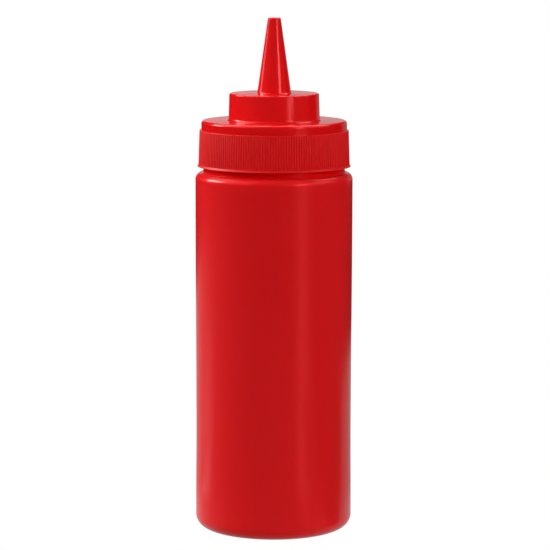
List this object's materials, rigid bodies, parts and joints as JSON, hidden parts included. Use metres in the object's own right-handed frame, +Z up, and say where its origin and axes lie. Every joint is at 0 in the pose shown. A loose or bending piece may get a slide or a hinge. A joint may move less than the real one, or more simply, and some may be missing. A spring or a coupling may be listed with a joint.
{
  "type": "squeeze bottle",
  "caption": "Red plastic squeeze bottle for sauces: straight round body, wide neck, ribbed screw cap with a stepped top and a cone nozzle.",
  "frame": {"origin": "middle of the base, on the surface the bottle stands on", "axes": "+Z up along the bottle's axis, towards the nozzle's tip; the bottle is round, so +X and +Y are any two level directions"},
  "size_m": [0.072, 0.072, 0.2356],
  "materials": {
    "bottle_plastic": "satin moulded polyethylene, opaque red",
    "cap_plastic": "smooth glossy moulded plastic, opaque red"
  },
  "bodies": {
    "root": {"bottle": "bottle_plastic", "cap": "cap_plastic"}
  },
  "joints": []
}
